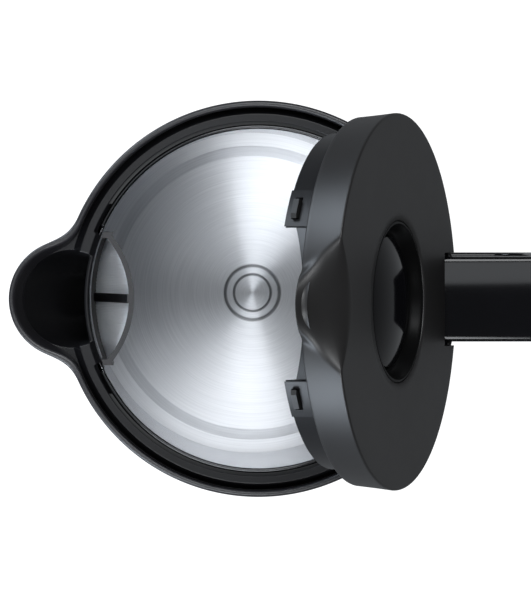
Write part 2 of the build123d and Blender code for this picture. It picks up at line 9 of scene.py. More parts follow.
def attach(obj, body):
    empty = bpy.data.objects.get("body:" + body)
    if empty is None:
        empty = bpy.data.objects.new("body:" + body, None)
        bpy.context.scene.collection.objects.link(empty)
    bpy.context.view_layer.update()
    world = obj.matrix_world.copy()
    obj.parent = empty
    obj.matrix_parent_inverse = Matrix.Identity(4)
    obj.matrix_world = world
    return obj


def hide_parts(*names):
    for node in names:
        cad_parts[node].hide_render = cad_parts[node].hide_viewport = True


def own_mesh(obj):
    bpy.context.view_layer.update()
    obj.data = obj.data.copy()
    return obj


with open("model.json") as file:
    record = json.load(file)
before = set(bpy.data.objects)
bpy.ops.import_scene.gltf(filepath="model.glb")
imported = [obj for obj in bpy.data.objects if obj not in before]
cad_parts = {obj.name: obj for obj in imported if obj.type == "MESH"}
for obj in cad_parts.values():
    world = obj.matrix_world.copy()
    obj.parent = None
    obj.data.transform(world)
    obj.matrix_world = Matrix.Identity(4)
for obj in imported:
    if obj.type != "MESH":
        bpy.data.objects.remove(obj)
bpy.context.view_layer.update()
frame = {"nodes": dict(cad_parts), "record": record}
RECORD = frame["record"]

RIM_Z = 0.200           # top of the body's lip
HINGE_X = 0.063
HINGE_Z = 0.2024
LID_OPEN = math.radians(69.5)


# ---------------------------------------------------------------- meshes

def ring_faces(index):
    """Quads between neighbouring rings, from an index array (..., rings, points of a ring)."""
    nxt = np.roll(index, -1, axis=-1)
    corners = [index[..., :-1, :], index[..., 1:, :], nxt[..., 1:, :], nxt[..., :-1, :]]
    return np.stack(corners, axis=-1).reshape(-1, 4).tolist()


def ring_mesh(name, points, capped=False):
    """A mesh from an array of points (rows, columns, 3) in which each row is a closed ring. Its
    faces look along the rows' direction crossed with the columns'."""
    index = np.arange(points[..., 0].size).reshape(points.shape[:2])
    faces = ring_faces(index)
    if capped:
        faces += [index[0].tolist(), index[-1][::-1].tolist()]
    return mesh_piece(name, points.reshape(-1, 3), faces)


def mesh_piece(name, verts, faces, smooth=True):
    mesh = bpy.data.meshes.new(name)
    mesh.from_pydata(verts.tolist(), [], faces)
    mesh.update()
    mesh.polygons.foreach_set("use_smooth", [smooth] * len(mesh.polygons))
    piece = bpy.data.objects.new(name, mesh)
    bpy.context.collection.objects.link(piece)
    return piece


def place_on_lid(points):
    """Points of the closed lid, with heights from the hinge axis, turned to the open pose."""
    x = points[..., 0] - HINGE_X
    z = points[..., 2]
    c, s = math.cos(LID_OPEN), math.sin(LID_OPEN)
    return np.stack([x * c + z * s + HINGE_X, points[..., 1], -x * s + z * c + HINGE_Z], axis=-1)


# ---------------------------------------------------------------- shader groups

def new_group(name, inputs, outputs):
    tree = bpy.data.node_groups.new(name, "ShaderNodeTree")
    for label, kind, value in inputs:
        socket = tree.interface.new_socket(label, in_out="INPUT", socket_type=kind)
        if value is not None:
            socket.default_value = value
    for label, kind in outputs:
        tree.interface.new_socket(label, in_out="OUTPUT", socket_type=kind)
    return tree, tree.nodes.new("NodeGroupInput"), tree.nodes.new("NodeGroupOutput")


def math_node(tree, operation, a, b=None, clamp=False):
    node = tree.nodes.new("ShaderNodeMath")
    node.operation = operation
    node.use_clamp = clamp
    for k, value in enumerate((a, b)):
        if value is None:
            continue
        if isinstance(value, (int, float)):
            node.inputs[k].default_value = value
        else:
            tree.links.new(value, node.inputs[k])
    return node.outputs[0]


def noise_node(tree, vector, scale, detail, roughness):
    node = tree.nodes.new("ShaderNodeTexNoise")
    node.inputs["Scale"].default_value = scale
    node.inputs["Detail"].default_value = detail
    node.inputs["Roughness"].default_value = roughness
    tree.links.new(vector, node.inputs["Vector"])
    return node.outputs["Fac"]


def map_range(tree, value, a, b, c, d):
    node = tree.nodes.new("ShaderNodeMapRange")
    for k, number in zip(("From Min", "From Max", "To Min", "To Max"), (a, b, c, d)):
        node.inputs[k].default_value = number
    tree.links.new(value, node.inputs["Value"])
    return node.outputs[0]


def object_axes(tree):
    coords = tree.nodes.new("ShaderNodeTexCoord").outputs["Object"]
    split = tree.nodes.new("ShaderNodeSeparateXYZ")
    tree.links.new(coords, split.inputs[0])
    return split.outputs["X"], split.outputs["Y"], split.outputs["Z"]


def distance_from_axis(tree, x, y):
    squares = [math_node(tree, "MULTIPLY", side, side) for side in (x, y)]
    return math_node(tree, "SQRT", math_node(tree, "ADD", *squares))


def build_grain():
    """Moulded plastic: fine spark-eroded grain as height, and slow patches of wear in the gloss."""
    tree, source, sink = new_group(
        "moulded_grain",
        [("Grain Size", "NodeSocketFloat", 1500.0), ("Base Roughness", "NodeSocketFloat", 0.4),
         ("Patch Strength", "NodeSocketFloat", 0.06)],
        [("Height", "NodeSocketFloat"), ("Roughness", "NodeSocketFloat"),
         ("Patches", "NodeSocketFloat")],
    )
    coords = tree.nodes.new("ShaderNodeTexCoord").outputs["Object"]
    grain = tree.nodes.new("ShaderNodeTexNoise")
    grain.inputs["Detail"].default_value = 2.0
    tree.links.new(coords, grain.inputs["Vector"])
    tree.links.new(source.outputs["Grain Size"], grain.inputs["Scale"])
    patches = noise_node(tree, coords, 22.0, 6.0, 0.62)
    shift = math_node(tree, "MULTIPLY", math_node(tree, "SUBTRACT", patches, 0.5),
                      source.outputs["Patch Strength"])
    rough = math_node(tree, "ADD", source.outputs["Base Roughness"],
                      math_node(tree, "MULTIPLY", shift, 4.0), clamp=True)
    tree.links.new(grain.outputs["Fac"], sink.inputs["Height"])
    tree.links.new(rough, sink.inputs["Roughness"])
    tree.links.new(patches, sink.inputs["Patches"])
    return tree


def build_turned_lines():
    """Circular brushing round the Z axis: fine lines in radius plus height, so that they lie on a
    floor and on a wall alike, with slow changes round the turn."""
    lines_per_metre = 2600.0
    change_round_turn = 1.4
    unevenness = 0.05
    tree, source, sink = new_group(
        "circular_brushing", [("Base Roughness", "NodeSocketFloat", 0.3)],
        [("Roughness", "NodeSocketFloat"), ("Streaks", "NodeSocketFloat")],
    )
    x, y, z = object_axes(tree)
    angle = math_node(tree, "ARCTAN2", y, x)
    run = math_node(tree, "ADD", distance_from_axis(tree, x, y), z)
    join = tree.nodes.new("ShaderNodeCombineXYZ")
    tree.links.new(math_node(tree, "MULTIPLY", run, lines_per_metre), join.inputs["X"])
    for operation, side in (("SINE", "Y"), ("COSINE", "Z")):
        turned = math_node(tree, operation, angle)
        tree.links.new(math_node(tree, "MULTIPLY", turned, change_round_turn), join.inputs[side])
    streaks = noise_node(tree, join.outputs[0], 1.0, 3.0, 0.6)
    shift = math_node(tree, "MULTIPLY", math_node(tree, "SUBTRACT", streaks, 0.5), unevenness)
    rough = math_node(tree, "ADD", source.outputs["Base Roughness"], shift, clamp=True)
    tree.links.new(rough, sink.inputs["Roughness"])
    tree.links.new(streaks, sink.inputs["Streaks"])
    return tree


GRAIN = build_grain()
BRUSHING = build_turned_lines()


# ---------------------------------------------------------------- materials

GRAIN_DEPTH = 0.00002
LINE_DEPTH = 0.00001


def new_material(name):
    material = bpy.data.materials.new(name)
    material.use_nodes = True
    tree = material.node_tree
    shader = tree.nodes["Principled BSDF"]
    return material, tree, shader


def use_group(tree, group, **values):
    node = tree.nodes.new("ShaderNodeGroup")
    node.node_tree = group
    for label, value in values.items():
        node.inputs[label.replace("_", " ")].default_value = value
    return node


def colour_ramp(tree, factor, low, high):
    ramp = tree.nodes.new("ShaderNodeValToRGB")
    ramp.color_ramp.elements[0].color = (*low, 1)
    ramp.color_ramp.elements[1].color = (*high, 1)
    ramp.color_ramp.elements[0].position = 0.3
    ramp.color_ramp.elements[1].position = 0.7
    tree.links.new(factor, ramp.inputs[0])
    return ramp.outputs[0]


def bump(tree, shader, height, strength, distance):
    node = tree.nodes.new("ShaderNodeBump")
    node.inputs["Strength"].default_value = strength
    node.inputs["Distance"].default_value = distance
    tree.links.new(height, node.inputs["Height"])
    tree.links.new(node.outputs["Normal"], shader.inputs["Normal"])


def plastic(name, low, high, roughness, specular=0.5, grain_size=1500.0, strength=0.25,
            patches=0.03):
    """A moulded plastic: low and high are the darkest and lightest tone in its colour."""
    material, tree, shader = new_material(name)
    grain = use_group(tree, GRAIN, Grain_Size=grain_size, Base_Roughness=roughness,
                      Patch_Strength=patches)
    colour = colour_ramp(tree, grain.outputs["Patches"], low, high)
    tree.links.new(colour, shader.inputs["Base Color"])
    tree.links.new(grain.outputs["Roughness"], shader.inputs["Roughness"])
    bump(tree, shader, grain.outputs["Height"], strength, GRAIN_DEPTH)
    shader.inputs["Specular IOR Level"].default_value = specular
    return material


def steel_turned(name, low, high, roughness, anisotropy):
    """Circularly brushed steel, with its streaks along the turning direction."""
    material, tree, shader = new_material(name)
    lines = use_group(tree, BRUSHING, Base_Roughness=roughness)
    colour = colour_ramp(tree, lines.outputs["Streaks"], low, high)
    tree.links.new(colour, shader.inputs["Base Color"])
    tree.links.new(lines.outputs["Roughness"], shader.inputs["Roughness"])
    bump(tree, shader, lines.outputs["Streaks"], 0.05, LINE_DEPTH)
    shader.inputs["Metallic"].default_value = 1.0
    shader.inputs["Anisotropic"].default_value = anisotropy
    shader.inputs["Anisotropic Rotation"].default_value = 0.25
    tangent = tree.nodes.new("ShaderNodeTangent")
    tangent.direction_type = "RADIAL"
    tangent.axis = "Z"
    tree.links.new(tangent.outputs[0], shader.inputs["Tangent"])
    return material


def plain_metal(name, low, high, roughness):
    material, tree, shader = new_material(name)
    grain = use_group(tree, GRAIN, Grain_Size=700.0, Base_Roughness=roughness, Patch_Strength=0.05)
    colour = colour_ramp(tree, grain.outputs["Patches"], low, high)
    tree.links.new(colour, shader.inputs["Base Color"])
    tree.links.new(grain.outputs["Roughness"], shader.inputs["Roughness"])
    bump(tree, shader, grain.outputs["Height"], 0.08, GRAIN_DEPTH)
    shader.inputs["Metallic"].default_value = 1.0
    return material


def darken(material, mask, amount):
    """Multiply a material's base colour by 1 - amount * mask."""
    tree = material.node_tree
    socket = tree.nodes["Principled BSDF"].inputs["Base Color"]
    colour = socket.links[0].from_socket
    mix = tree.nodes.new("ShaderNodeMix")
    mix.data_type = "RGBA"
    factor, first, second, result = mix.inputs[0], mix.inputs[6], mix.inputs[7], mix.outputs[2]
    second.default_value = (0, 0, 0, 1)
    tree.links.new(math_node(tree, "MULTIPLY", mask, amount), factor)
    tree.links.new(colour, first)
    tree.links.new(result, socket)


def shade_turned_edge(material, height):
    """Painted shade: the turned-out edge above a height is painted dark."""
    tree = material.node_tree
    z = object_axes(tree)[2]
    darken(material, map_range(tree, z, height, height + 0.0008, 0, 1), 0.93)


def groove_shade(material, grooves):
    """Painted shade: dark rings painted in the pressed grooves, each given as its radius and half
    width.
    """
    tree = material.node_tree
    x, y, _ = object_axes(tree)
    radius = distance_from_axis(tree, x, y)
    groove_shade_mask = 0.0
    for middle, half in grooves:
        away = math_node(tree, "ABSOLUTE", math_node(tree, "SUBTRACT", radius, middle))
        groove_shade_mask = math_node(tree, "ADD", map_range(tree, away, half * 0.35, half, 1, 0), groove_shade_mask)
    darken(material, groove_shade_mask, 0.62)


SHELL_PLASTIC = plastic("shell_plastic", (0.008, 0.0075, 0.009), (0.012, 0.0115, 0.013), 0.36)
LID_PLASTIC = plastic("lid_plastic", (0.008, 0.0075, 0.0075), (0.011, 0.0105, 0.0105), 0.42,
                      specular=0.42)
# painted shade: the collar's plastic is a darker copy of the black plastic, for the shade in the
# deep trough
TROUGH_SHADE_PLASTIC = plastic("trough_painted_shade", (0.004, 0.004, 0.0045), (0.006, 0.006, 0.007), 0.36,
                         specular=0.26)
# painted shade: the well round the button is painted near black for the shade in the recess
WELL_SHADE_PLASTIC = plastic("well_painted_shade", (0.0015, 0.0015, 0.0015), (0.0025, 0.0025, 0.0025), 0.30,
                       specular=0.06)
GLOSS_PLASTIC = plastic("gloss_plastic", (0.002, 0.002, 0.0025), (0.003, 0.003, 0.004), 0.10,
                        specular=0.22, grain_size=300.0, strength=0.03, patches=0.01)
# painted shade: the lid's base is a darker copy of the black plastic, for the shade in its concave
# front
LINING_SHADE_PLASTIC = plastic("lining_painted_shade", (0.005, 0.005, 0.0055), (0.007, 0.007, 0.008), 0.34,
                         specular=0.3)
INNER_PLASTIC = plastic("inner_plastic", (0.006, 0.006, 0.006), (0.010, 0.010, 0.010), 0.5)
SILICONE = plastic("black_silicone", (0.006, 0.006, 0.006), (0.010, 0.010, 0.010), 0.6)
BEIGE_PLASTIC = plastic("control_plastic", (0.50, 0.46, 0.38), (0.60, 0.56, 0.47), 0.5)
POT_STEEL = steel_turned("pot_steel", (0.50, 0.51, 0.53), (0.58, 0.59, 0.61), 0.22, 0.80)
FLOOR_STEEL = steel_turned("floor_steel", (0.66, 0.67, 0.69), (0.76, 0.77, 0.79), 0.47, 0.93)
WIRE_STEEL = plain_metal("wire_steel", (0.86, 0.88, 0.91), (0.94, 0.95, 0.97), 0.5)
BRIGHT_STEEL = plain_metal("bright_steel", (0.60, 0.60, 0.60), (0.72, 0.72, 0.72), 0.22)
DARK_STEEL = plain_metal("dark_steel", (0.035, 0.035, 0.035), (0.055, 0.055, 0.055), 0.45)
ALUMINIUM = plain_metal("cast_aluminium", (0.62, 0.62, 0.62), (0.74, 0.74, 0.74), 0.4)
BRASS = plain_metal("contact_brass", (0.60, 0.42, 0.16), (0.72, 0.52, 0.22), 0.3)
# painted shade: the pot's turned-out edge is painted dark
shade_turned_edge(POT_STEEL, 0.1936)
# painted shade in the floor plate's pressed grooves
groove_shade(FLOOR_STEEL, ((0.0109, 0.0009), (0.0074, 0.0007)))

MATERIAL_OF_SLOT = {
    "satin_black": SHELL_PLASTIC, "lid_grey": LID_PLASTIC, "gloss_black": GLOSS_PLASTIC,
    "inner_black": INNER_PLASTIC, "beige_plastic": BEIGE_PLASTIC, "steel": POT_STEEL,
    "bright_steel": BRIGHT_STEEL, "aluminium": ALUMINIUM, "brass": BRASS, "silicone": SILICONE,
}
MATERIAL_OF_NODE = {"floor_plate": FLOOR_STEEL, "lid_base": LINING_SHADE_PLASTIC,
                    "hinge_spring": DARK_STEEL}

for subpart in RECORD["subparts"]:
    node = subpart["node"]
    material = MATERIAL_OF_NODE.get(node, MATERIAL_OF_SLOT[subpart["material_slot"]])
    mesh = frame["nodes"][node].data
    mesh.materials.clear()
    mesh.materials.append(material)


# ---------------------------------------------------------------- shell with its spout

SHELL_BOTTOM = 0.003
FOOT_R = 0.076
RIM_R = 0.075
WAIST = 0.0011          # how far the wall curves in at half height
WALL = 0.0024
LIP_ROUND = 0.0011      # radius of the lip's rounded edge
SPOUT_X = -0.0722       # the spout is a skewed cone from its root up to the rim
SPOUT_R = 0.0226
SPOUT_ROOT_X = -0.063
SPOUT_ROOT_R = 0.010
SPOUT_ROOT_Z = 0.142
WINDOW_LOW = 0.014      # the switch's window in the wall
WINDOW_HIGH = 0.0285
WINDOW_HALF = 0.0104
BLEND = 0.009           # width of the hollow where the spout grows out of the body
FULL_BLEND = 0.35       # share of the spout's height by which that width is reached
NEAREST = 0.055         # the outline's radius is searched between these two
FARTHEST = 0.105


def body_radius(z):
    """Radius of the round body at height z: an arc through foot, waist and rim."""
    t = (z - SHELL_BOTTOM) / (RIM_Z - SHELL_BOTTOM)
    return FOOT_R + (RIM_R - FOOT_R) * t - WAIST * 4 * t * (1 - t)


def soft_union(a, b, width):
    """The smaller of two distances, with the corner between them filled over width."""
    near = np.maximum(width - np.abs(a - b), 0.0) / width
    return np.minimum(a, b) - near ** 2 * width / 4


def shell_outline(angle, z, inset):
    """Radius of the shell's outline along an angle from -X at height z. It is where the soft union
    of the distances to the round body and to the spout's circle equals -inset, found by halving."""
    t = (z - SPOUT_ROOT_Z) / (RIM_Z - SPOUT_ROOT_Z)
    if t <= 0:
        return np.full_like(angle, body_radius(z) - inset)
    centre = -(SPOUT_ROOT_X + t * (SPOUT_X - SPOUT_ROOT_X))
    radius = SPOUT_ROOT_R + t * (SPOUT_R - SPOUT_ROOT_R)
    width = BLEND * min(1.0, t / FULL_BLEND)
    low = np.full_like(angle, NEAREST)
    high = np.full_like(angle, FARTHEST)
    for _ in range(24):
        r = (low + high) / 2
        to_spout = np.hypot(r * np.cos(angle) - centre, r * np.sin(angle)) - radius
        outside = soft_union(r - body_radius(z), to_spout, width) + inset > 0
        high = np.where(outside, r, high)
        low = np.where(outside, low, r)
    return (low + high) / 2


def turn_samples():
    """Angles round the body, closer together on the spout's side."""
    t = np.linspace(-1, 1, 561)[:-1]
    return np.pi * (0.35 * t + 0.65 * t ** 3)


def shell_point(angle, radius, z):
    return np.stack([-radius * np.cos(angle), -radius * np.sin(angle), z + 0 * angle], axis=-1)


def shell_surface():
    """The shell's wall as one closed section carried round the body: up the outside, over a rounded
    lip, and down the inside. Each ring is the softly joined outline at its own height and inset."""
    lip_z = RIM_Z - LIP_ROUND
    neck_z = 0.186
    side = [SHELL_BOTTOM, 0.0085] + list(np.linspace(WINDOW_LOW, WINDOW_HIGH, 4))
    rings = [(z, 0.0) for z in side + list(np.linspace(WINDOW_HIGH, lip_z, 52)[1:])]
    for a in np.linspace(0, math.pi / 2, 6)[1:]:
        rings.append((lip_z + LIP_ROUND * math.sin(a), LIP_ROUND - LIP_ROUND * math.cos(a)))
    for a in np.linspace(math.pi / 2, math.pi, 6)[1:]:
        rings.append((lip_z + LIP_ROUND * math.sin(a), WALL - LIP_ROUND - LIP_ROUND * math.cos(a)))
    inside = [np.linspace(lip_z, neck_z, 8)[1:], np.linspace(neck_z, WINDOW_HIGH, 20)[1:-1],
              side[::-1]]
    rings += [(z, WALL) for z in np.concatenate(inside)]
    angle = turn_samples()
    points = np.array([shell_point(angle, shell_outline(angle, z, inset), z)
                       for z, inset in rings])
    half = int(np.argmax(np.abs(points[2, :, 1]) >= WINDOW_HALF))
    across = [k % len(angle) for k in range(-half, half + 1)]
    window = rows_between(rings, WINDOW_LOW, WINDOW_HIGH) + (across,)
    return walled_mesh("shell_skin", points, [window])


def rows_between(rings, low, high):
    """The rows of a wall's outer face and of its inner face that lie between two heights."""
    hair = 1e-6
    rows = [r for r, (z, _) in enumerate(rings) if low - hair < z < high + hair]
    return ([r for r in rows if rings[r][1] == 0.0], [r for r in rows if rings[r][1] > 0.0])


def walled_mesh(name, points, openings):
    """A ring-shaped wall from a grid closed both ways, with openings through it. Each opening gives
    its rows on the outer face, its rows on the inner face and its columns: its quads are dropped
    from both faces, and flat strips join the two edges."""
    index = np.arange(points[..., 0].size).reshape(points.shape[:2])
    across_one = np.roll(index, -1, axis=1)
    up_one = np.roll(index, -1, axis=0)
    quads = np.stack([index, across_one, np.roll(across_one, -1, axis=0), up_one], axis=-1)
    kept = np.ones(index.shape, bool)
    strips = []
    for outside, inside, across in openings:
        around = outside + inside
        strips += [index[around, across[0]].tolist(), index[around[::-1], across[-1]].tolist()]
        for first, second in ((inside[-1], outside[0]), (outside[-1], inside[0])):
            a, b = index[first, across], index[second, across]
            strips += np.stack([a[:-1], a[1:], b[1:], b[:-1]], axis=-1).tolist()
        for run in (outside, inside):
            kept[np.ix_(run[:-1], across[:-1])] = False
    return mesh_piece(name, points.reshape(-1, 3), quads[kept].tolist() + strips)


# ---------------------------------------------------------------- collar with the spout's trough

LEDGE_Z = 0.197
LEDGE_R_IN = 0.0672
LEDGE_R_OUT = 0.0701
GAP_DEPTH = 0.0046      # of the gap outside the ledge
GAP_SLOPE = 0.0022      # width over which it falls
HORN_Y = 0.0165         # where the ledge ends at each side of the trough
RIDGE_R = 0.0661        # thin ridge along the pot's edge
RIDGE_Z = 0.1932
COLLAR_LOW = 0.186
SPOUT_WALL = 0.0025
CHUTE_X = -0.0655       # the chute passes through this point of the plan at this height
CHUTE_Z = 0.147
CHUTE_SLOPE = 1.5
CHUTE_BLEND = 0.006


def smooth_step(value, low, high):
    t = np.clip((value - low) / (high - low), 0.0, 1.0)
    return t * t * (3 - 2 * t)


def trough_height(x, y):
    """Height of the spout's inside at a point of the plan: where the skewed inner cone passes
    through it, from the cone's quadratic, or the chute that rises from the pot to the cone."""
    span = RIM_Z - SPOUT_ROOT_Z
    skew = SPOUT_X - SPOUT_ROOT_X
    grow = SPOUT_R - SPOUT_ROOT_R
    root = SPOUT_ROOT_R - SPOUT_WALL
    a = x - SPOUT_ROOT_X
    qa = grow ** 2 - skew ** 2
    qb = 2 * (root * grow + a * skew)
    qc = root ** 2 - a ** 2 - y ** 2
    t = (-qb + np.sqrt(np.maximum(qb ** 2 - 4 * qa * qc, 0.0))) / (2 * qa)
    cone = SPOUT_ROOT_Z + span * t
    chute = CHUTE_Z + (CHUTE_X - x) * CHUTE_SLOPE
    return -soft_union(-cone, -chute, CHUTE_BLEND)


def collar_surface():
    """The collar as heights over the plan, from the pot's edge out to the shell: a flat ledge with
    a sloped gap outside it, and on the spout's side the trough, with a thin ridge at the pot."""
    angle = turn_samples()
    side = np.abs(np.sin(angle)) * LEDGE_R_OUT
    front = np.cos(angle) > 0
    open_side = np.where(front, 1 - smooth_step(side, HORN_Y, HORN_Y + 0.0015), 0.0)
    notch = np.where(front, 1 - smooth_step(side, 0.026, 0.0265), 0.0)
    r_pot = RIDGE_R - 0.0020 * notch
    r_in = LEDGE_R_IN - 0.0012 * notch
    r_out = shell_outline(angle, 0.1975, WALL - 0.0001)
    level = 0 * angle
    rings = [(r_pot, COLLAR_LOW + level), (r_pot + 0.0001, RIDGE_Z + level),
             (r_in - 0.0001, RIDGE_Z + level)]
    flat = 0.16             # share of the rings that lie on the ledge
    for share in np.concatenate([np.linspace(0, flat, 9), np.linspace(flat, 1, 40)[1:]]):
        reach = r_in + (LEDGE_R_OUT - r_in) * min(share / flat, 1.0)
        reach += (r_out - LEDGE_R_OUT) * max(share - flat, 0.0) / (1 - flat)
        fall = np.clip((reach - LEDGE_R_OUT) / GAP_SLOPE, 0.0, 1.0)
        ledge = LEDGE_Z - GAP_DEPTH * fall
        inside = trough_height(-reach * np.cos(angle), -reach * np.sin(angle))
        inside = np.where(front, np.minimum(inside, LEDGE_Z), LEDGE_Z)
        rings.append((reach, np.where(reach > LEDGE_R_OUT, np.minimum(ledge, inside),
                                      ledge + (inside - ledge) * open_side)))
    points = np.array([shell_point(angle, r, z) for r, z in rings])
    return ring_mesh("collar_skin", points)


# ---------------------------------------------------------------- handle

HANDLE_HALF = 0.01605
HANDLE_OUTER = ((0.0645, 0.2084), (0.132, 0.2084), (0.129, 0.030), (0.0752, 0.030))
HANDLE_INNER = ((0.0645, 0.1790), (0.1106, 0.1790), (0.1076, 0.0554), (0.0752, 0.0554))
OUTER_ROUND = (0.026, 0.018)
INNER_ROUND = (0.0164, 0.0124)
HANDLE_FOOT_X = 0.0752  # below the rim the handle ends at the body's wall
SQUARENESS = 0.065      # power of the section's squared-off circle
CROWN = 0.0016          # rise of the handle's outer face in its middle


def rounded_run(corners, radii, counts):
    """A path of straight runs joined by tangent arcs: each corner's arc is swept from one run's
    direction to the next about its own centre. counts gives the points on each run and arc."""
    corners = np.array(corners, float)
    pieces = []
    last = corners[0]
    for k in range(1, len(corners) - 1):
        before = corners[k - 1] - corners[k]
        after = corners[k + 1] - corners[k]
        before /= np.linalg.norm(before)
        after /= np.linalg.norm(after)
        half = math.acos(float(before @ after)) / 2
        reach = radii[k - 1] / math.tan(half)
        first = corners[k] + before * reach
        middle = before + after
        centre = corners[k] + middle / np.linalg.norm(middle) * radii[k - 1] / math.sin(half)
        pieces.append(last + (first - last) * np.linspace(0, 1, counts[0])[:-1, None])
        start = math.atan2(*(first - centre)[::-1])
        end_point = corners[k] + after * reach
        turn = math.atan2(*(end_point - centre)[::-1]) - start
        turn = (turn + math.pi) % (2 * math.pi) - math.pi
        a = start + turn * np.linspace(0, 1, counts[1])[:-1]
        pieces.append(centre + radii[k - 1] * np.stack([np.cos(a), np.sin(a)], axis=-1))
        last = end_point
    pieces.append(last + (corners[-1] - last) * np.linspace(0, 1, counts[0])[:, None])
    return np.concatenate(pieces)


def handle_surface():
    """A crowned, round-edged section carried along the C of the handle. At each step the section
    spans from the outer path to the inner one: its edge follows a squared-off circle."""
    counts = (14, 18)
    outer = rounded_run(HANDLE_OUTER, OUTER_ROUND, counts)
    inner = rounded_run(HANDLE_INNER, INNER_ROUND, counts)
    a = np.linspace(0, 2 * math.pi, 72, endpoint=False)
    y = HANDLE_HALF * np.sign(np.sin(a)) * np.abs(np.sin(a)) ** SQUARENESS
    depth = 0.5 - 0.5 * np.sign(np.cos(a)) * np.abs(np.cos(a)) ** SQUARENESS
    span = np.linalg.norm(inner - outer, axis=-1)[:, None]
    fall = CROWN * (y / HANDLE_HALF) ** 2
    share = depth[None] + (1 - depth[None]) * fall[None] / span
    flat = outer[:, None] + (inner - outer)[:, None] * share[..., None]
    points = np.stack([flat[..., 0], np.broadcast_to(y, share.shape), flat[..., 1]], axis=-1)
    inside = (points[..., 0] < HANDLE_FOOT_X) & (points[..., 2] < RIM_Z)
    points[..., 0] = np.where(inside, HANDLE_FOOT_X, points[..., 0])
    return ring_mesh("handle_skin", points, capped=True)


# ---------------------------------------------------------------- steel pot

POT_R = 0.0643
POT_T = 0.0007
POT_LOW = 0.042
POT_TOP = 0.195
FLANGE_WIDE = 0.001
NOTCH_Y = 0.0268        # half width and depth of the notch for the filter
NOTCH_DEPTH = 0.0055
TROUGH_Y = 0.021        # the trough cuts the wall within this distance of its middle
SLOT_LOW = 0.1899       # slots for the lid's two latch bolts
SLOT_HIGH = 0.1930
SLOT_Y = (0.0302, 0.0388)


def pot_surface():
    """The pot's wall as one thin closed section carried round the axis: up the outside, over the
    turned-out edge and down the inside. Its top follows the notch for the filter, and within that
    the height at which the spout's trough cuts the wall."""
    angle = turn_samples()
    side = np.abs(np.sin(angle)) * POT_R
    front = np.cos(angle) > 0
    notch = np.where(front, 1 - smooth_step(side, NOTCH_Y, NOTCH_Y + 0.0004), 0.0)
    cut = trough_height(-POT_R * np.cos(angle), -POT_R * np.sin(angle))
    top = POT_TOP - NOTCH_DEPTH * notch
    top = np.where(front & (side < TROUGH_Y), np.minimum(top, cut), top)
    outer = POT_R + POT_T
    flange = outer + FLANGE_WIDE * (1 - notch)
    heights = [POT_LOW] + list(np.linspace(0.060, 0.185, 22)) + [SLOT_LOW, SLOT_HIGH]
    rings = [(z, 0.0) for z in heights] + [(POT_TOP, 0.5)] * 6 + [(z, POT_T) for z in heights[::-1]]
    rows = [(outer, np.minimum(z, top - POT_T)) for z in heights]
    rows += [(outer, top - POT_T), (flange, top - POT_T), (flange, top), (outer, top),
             (outer - 0.0005, top - 0.0001), (POT_R, top - 0.0006)]
    rows += [(POT_R, np.minimum(z, top - 0.0007)) for z in heights[::-1]]
    points = np.array([shell_point(angle, r, z) for r, z in rows])
    openings = []
    for sign in (1, -1):
        y = sign * points[0, :, 1] * POT_R / outer
        across = np.nonzero(front & (y > SLOT_Y[0]) & (y < SLOT_Y[1]))[0].tolist()
        openings.append(rows_between(rings, SLOT_LOW, SLOT_HIGH) + (across,))
    return walled_mesh("pot_skin", points, openings)


# ---------------------------------------------------------------- lid cover with its beak

LID_TOP = 0.0102        # heights on the lid are from the hinge axis
LID_EDGE = -0.0044
LID_WALL = 0.002
RECESS_R = 0.030
GAP_HALF = 0.0175       # the hinge gap
GAP_X = 0.056
BEAK_POINTS = 81        # points of the plan on the beak, on each side's circle and in the gap
CIRCLE_POINTS = 160
GAP_SIDE_POINTS = 8
GAP_BACK_POINTS = 17
COVER_LOW = (0.0680, 0.0123, 0.0744)     # circle's radius, beak's half width and reach
COVER_HIGH = (0.0696, 0.0240, 0.0580)
SKIRT = 0.004           # how far the wall's inner face goes up
EDGE_TURN = 0.0011      # size of the curve from the wall to the top
BEAK_DOWN = 0.0085      # how much longer it is at the beak, down the wall and across the top
BEAK_IN = 0.0035


def cover_outline(radius, half, reach):
    """Plan of the cover at one height: an arc over the beak, the circle on both sides, and the
    three straight sides of the hinge gap, always with the same number of points on each."""
    s = np.linspace(-1, 1, BEAK_POINTS)
    x_side = -math.sqrt(radius ** 2 - half ** 2)
    rise = -reach - x_side
    bend = (half ** 2 + rise ** 2) / (2 * abs(rise))
    bow = np.sqrt(bend ** 2 - (half * s) ** 2) - (bend - abs(rise))
    front = np.stack([x_side + np.sign(rise) * bow, half * s], axis=-1)
    u = np.linspace(0, 1, CIRCLE_POINTS + 1)[1:] ** 1.25
    first = math.pi - math.asin(half / radius)
    last = math.asin(GAP_HALF / radius)
    turn = first + (last - first) * u
    circle = radius * np.stack([np.cos(turn), np.sin(turn)], axis=-1)
    x_gap = circle[-1, 0]
    w = np.linspace(0, 1, GAP_SIDE_POINTS + 1)[1:, None]
    side = np.array([x_gap, GAP_HALF]) + w * np.array([GAP_X - x_gap, 0])
    y = GAP_HALF * np.linspace(1, -1, GAP_BACK_POINTS)[1:]
    back = np.stack([np.full_like(y, GAP_X), y], axis=-1)
    other = np.concatenate([side[::-1][1:], circle[::-1]]) * np.array([1, -1])
    return np.concatenate([front, circle, side, back, other])


def recess_outline():
    """Points on the recess's edge that face the points of cover_outline, in the same order."""
    low = cover_outline(*COVER_LOW)
    front = np.arctan2(low[:BEAK_POINTS, 1], -low[:BEAK_POINTS, 0])
    u = np.linspace(0, 1, CIRCLE_POINTS + 1)[1:]
    circle = front[-1] + (math.radians(135) - front[-1]) * u
    side = np.radians(135 + 9 * np.linspace(0, 1, GAP_SIDE_POINTS + 1)[1:])
    back = np.radians(180 - 36 * np.linspace(1, -1, GAP_BACK_POINTS)[1:])
    other = -np.concatenate([side[::-1][1:], circle[::-1]])
    turn = np.concatenate([front, circle, side, back, other])
    return RECESS_R * np.stack([-np.cos(turn), np.sin(turn)], axis=-1)


